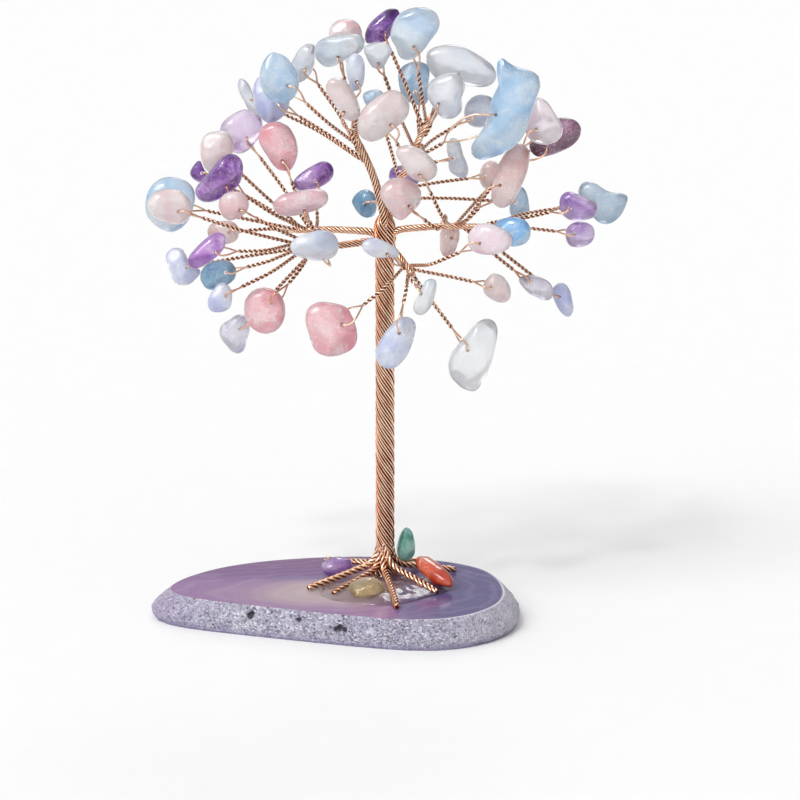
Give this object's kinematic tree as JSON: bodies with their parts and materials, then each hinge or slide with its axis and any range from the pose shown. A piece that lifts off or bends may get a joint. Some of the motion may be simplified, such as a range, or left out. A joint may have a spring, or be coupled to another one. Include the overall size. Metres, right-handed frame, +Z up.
{
  "type": "gemstone tree ornament",
  "caption": "Small ornamental tree of twisted copper wire, with drilled gemstone chips that swing on wire loops, rooted on a polished slice of agate.",
  "frame": {"origin": "on the underside of the agate slice, straight below the trunk", "axes": "+Z up along the trunk, +X to the right and -Y towards the viewer in the front view"},
  "size_m": [0.096, 0.0558, 0.1226],
  "materials": {
    "agate": "polished face, rough rind",
    "glue": "clear, glossy",
    "copper": "bright drawn copper wire",
    "rose_quartz": "tumbled, translucent",
    "aquamarine": "tumbled, translucent",
    "amethyst": "tumbled, translucent",
    "blue_lace": "tumbled, cloudy",
    "clear_quartz": "tumbled, clear",
    "aventurine": "tumbled",
    "carnelian": "tumbled",
    "citrine": "tumbled, translucent"
  },
  "bodies": {
    "tree": {"agate_slice": "agate", "amethyst_tied": "amethyst", "aquamarine_tied": "aquamarine", "base_amethyst": "amethyst", "base_aventurine": "aventurine", "base_carnelian": "carnelian", "base_citrine": "citrine", "blue_lace_tied": "blue_lace", "clear_quartz_tied": "clear_quartz", "crown_knot": "copper", "glue_pool": "glue", "limb_back": "copper", "limb_left_back": "copper", "limb_left_front": "copper", "limb_lower_right": "copper", "limb_right": "copper", "limb_upper_left": "copper", "limb_upper_right": "copper", "root_bundles": "copper", "root_collar": "copper", "rose_quartz_tied": "rose_quartz", "trunk_bundle": "copper", "twigs_back": "copper", "twigs_left_back": "copper", "twigs_left_front": "copper", "twigs_lower_right": "copper", "twigs_right": "copper", "twigs_upper_left": "copper", "twigs_upper_right": "copper"},
    "rose_quartz_01": {"rose_quartz_01": "rose_quartz"},
    "aquamarine_08": {"aquamarine_08": "aquamarine"},
    "clear_quartz_10": {"clear_quartz_10": "clear_quartz"},
    "amethyst_03": {"amethyst_03": "amethyst"},
    "aquamarine_04": {"aquamarine_04": "aquamarine"},
    "clear_quartz_35": {"clear_quartz_35": "clear_quartz"},
    "clear_quartz_39": {"clear_quartz_39": "clear_quartz"},
    "amethyst_40": {"amethyst_40": "amethyst"},
    "amethyst_50": {"amethyst_50": "amethyst"},
    "aquamarine_51": {"aquamarine_51": "aquamarine"},
    "amethyst_52": {"amethyst_52": "amethyst"},
    "clear_quartz_55": {"clear_quartz_55": "clear_quartz"},
    "blue_lace_56": {"blue_lace_56": "blue_lace"},
    "rose_quartz_20": {"rose_quartz_20": "rose_quartz"},
    "amethyst_21": {"amethyst_21": "amethyst"},
    "blue_lace_22": {"blue_lace_22": "blue_lace"},
    "blue_lace_24": {"blue_lace_24": "blue_lace"},
    "amethyst_25": {"amethyst_25": "amethyst"},
    "rose_quartz_26": {"rose_quartz_26": "rose_quartz"},
    "amethyst_11": {"amethyst_11": "amethyst"},
    "rose_quartz_12": {"rose_quartz_12": "rose_quartz"},
    "rose_quartz_13": {"rose_quartz_13": "rose_quartz"},
    "amethyst_15": {"amethyst_15": "amethyst"},
    "aquamarine_19": {"aquamarine_19": "aquamarine"},
    "rose_quartz_27": {"rose_quartz_27": "rose_quartz"},
    "rose_quartz_54": {"rose_quartz_54": "rose_quartz"},
    "aquamarine_57": {"aquamarine_57": "aquamarine"},
    "blue_lace_58": {"blue_lace_58": "blue_lace"},
    "clear_quartz_59": {"clear_quartz_59": "clear_quartz"}
  },
  "joints": [
    {"name": "rose_quartz_01_swing", "type": "hinge", "parent": "tree", "child": "rose_quartz_01", "pos_m": [-0.00783, 0.00783, 0.11475], "axis": [0.1615, -0.9746, 0.1554], "range_deg": [-20, 20]},
    {"name": "aquamarine_08_swing", "type": "hinge", "parent": "tree", "child": "aquamarine_08", "pos_m": [-0.01894, -0.00984, 0.1084], "axis": [0.1686, -0.9834, 0.0676], "range_deg": [-20, 20]},
    {"name": "clear_quartz_10_swing", "type": "hinge", "parent": "tree", "child": "clear_quartz_10", "pos_m": [-0.02637, 0.00988, 0.10233], "axis": [-0.0987, -0.9905, 0.0957], "range_deg": [-20, 20]},
    {"name": "amethyst_03_swing", "type": "hinge", "parent": "tree", "child": "amethyst_03", "pos_m": [-0.00028, 0.00595, 0.1161], "axis": [0.2002, -0.9716, 0.1264], "range_deg": [-20, 20]},
    {"name": "aquamarine_04_swing", "type": "hinge", "parent": "tree", "child": "aquamarine_04", "pos_m": [0.0057, -0.00382, 0.11542], "axis": [-0.0079, -0.996, -0.0891], "range_deg": [-20, 20]},
    {"name": "clear_quartz_35_swing", "type": "hinge", "parent": "tree", "child": "clear_quartz_35", "pos_m": [0.01421, 0.00974, 0.1075], "axis": [0.1341, -0.9874, 0.0841], "range_deg": [-20, 20]},
    {"name": "clear_quartz_39_swing", "type": "hinge", "parent": "tree", "child": "clear_quartz_39", "pos_m": [0.02995, -0.00007, 0.09802], "axis": [-0.1411, -0.978, 0.1537], "range_deg": [-20, 20]},
    {"name": "amethyst_40_swing", "type": "hinge", "parent": "tree", "child": "amethyst_40", "pos_m": [0.03202, 0.01066, 0.09283], "axis": [0.1215, -0.9906, 0.0636], "range_deg": [-20, 20]},
    {"name": "amethyst_50_swing", "type": "hinge", "parent": "tree", "child": "amethyst_50", "pos_m": [0.03612, -0.00891, 0.08411], "axis": [-0.083, -0.9919, 0.0963], "range_deg": [-20, 20]},
    {"name": "aquamarine_51_swing", "type": "hinge", "parent": "tree", "child": "aquamarine_51", "pos_m": [0.04166, 0.00581, 0.082], "axis": [0.0878, -0.9839, 0.1554], "range_deg": [-20, 20]},
    {"name": "amethyst_52_swing", "type": "hinge", "parent": "tree", "child": "amethyst_52", "pos_m": [0.03736, 0.00388, 0.07637], "axis": [0.1091, -0.9876, 0.1131], "range_deg": [-20, 20]},
    {"name": "clear_quartz_55_swing", "type": "hinge", "parent": "tree", "child": "clear_quartz_55", "pos_m": [0.02839, -0.00791, 0.06895], "axis": [0.0306, -0.9905, 0.1343], "range_deg": [-20, 20]},
    {"name": "blue_lace_56_swing", "type": "hinge", "parent": "tree", "child": "blue_lace_56", "pos_m": [0.03427, -0.00202, 0.06495], "axis": [0.1484, -0.9772, 0.152], "range_deg": [-20, 20]},
    {"name": "rose_quartz_20_swing", "type": "hinge", "parent": "tree", "child": "rose_quartz_20", "pos_m": [-0.03989, -0.0129, 0.08435], "axis": [0.0736, -0.9952, 0.0642], "range_deg": [-20, 20]},
    {"name": "amethyst_21_swing", "type": "hinge", "parent": "tree", "child": "amethyst_21", "pos_m": [-0.03295, -0.01685, 0.07707], "axis": [0.1219, -0.9816, 0.1471], "range_deg": [-20, 20]},
    {"name": "blue_lace_22_swing", "type": "hinge", "parent": "tree", "child": "blue_lace_22", "pos_m": [-0.03868, -0.00502, 0.07153], "axis": [-0.0425, -0.9922, 0.1171], "range_deg": [-20, 20]},
    {"name": "blue_lace_24_swing", "type": "hinge", "parent": "tree", "child": "blue_lace_24", "pos_m": [-0.03086, -0.01685, 0.06848], "axis": [0.096, -0.9906, 0.0971], "range_deg": [-20, 20]},
    {"name": "amethyst_25_swing", "type": "hinge", "parent": "tree", "child": "amethyst_25", "pos_m": [-0.0284, -0.00503, 0.05921], "axis": [-0.1241, -0.9878, 0.0936], "range_deg": [-20, 20]},
    {"name": "rose_quartz_26_swing", "type": "hinge", "parent": "tree", "child": "rose_quartz_26", "pos_m": [-0.02193, -0.01376, 0.06601], "axis": [-0.056, -0.9776, 0.2027], "range_deg": [-20, 20]},
    {"name": "amethyst_11_swing", "type": "hinge", "parent": "tree", "child": "amethyst_11", "pos_m": [-0.0279, 0.01186, 0.09415], "axis": [0.1724, -0.9592, 0.224], "range_deg": [-20, 20]},
    {"name": "rose_quartz_12_swing", "type": "hinge", "parent": "tree", "child": "rose_quartz_12", "pos_m": [-0.01993, -0.00374, 0.09304], "axis": [-0.0306, -0.9917, -0.1252], "range_deg": [-20, 20]},
    {"name": "rose_quartz_13_swing", "type": "hinge", "parent": "tree", "child": "rose_quartz_13", "pos_m": [-0.03209, 0.00303, 0.09212], "axis": [0.0659, -0.9972, 0.0359], "range_deg": [-20, 20]},
    {"name": "amethyst_15_swing", "type": "hinge", "parent": "tree", "child": "amethyst_15", "pos_m": [-0.03111, -0.00284, 0.08782], "axis": [0.0664, -0.9955, -0.0682], "range_deg": [-20, 20]},
    {"name": "aquamarine_19_swing", "type": "hinge", "parent": "tree", "child": "aquamarine_19", "pos_m": [-0.04036, 0.005, 0.08178], "axis": [0.0433, -0.98, 0.1944], "range_deg": [-20, 20]},
    {"name": "rose_quartz_27_swing", "type": "hinge", "parent": "tree", "child": "rose_quartz_27", "pos_m": [-0.00857, -0.01276, 0.06202], "axis": [0.0976, -0.9938, 0.054], "range_deg": [-20, 20]},
    {"name": "rose_quartz_54_swing", "type": "hinge", "parent": "tree", "child": "rose_quartz_54", "pos_m": [0.02094, -0.00402, 0.06747], "axis": [0.0436, -0.9939, 0.1015], "range_deg": [-20, 20]},
    {"name": "aquamarine_57_swing", "type": "hinge", "parent": "tree", "child": "aquamarine_57", "pos_m": [0.00758, -0.01468, 0.06805], "axis": [-0.3652, -0.8874, 0.2812], "range_deg": [-20, 20]},
    {"name": "blue_lace_58_swing", "type": "hinge", "parent": "tree", "child": "blue_lace_58", "pos_m": [0.00246, -0.01175, 0.05994], "axis": [0.1833, -0.98, 0.0773], "range_deg": [-20, 20]},
    {"name": "clear_quartz_59_swing", "type": "hinge", "parent": "tree", "child": "clear_quartz_59", "pos_m": [0.01625, -0.00796, 0.05576], "axis": [0.0205, -0.9986, 0.0491], "range_deg": [-20, 20]}
  ]
}
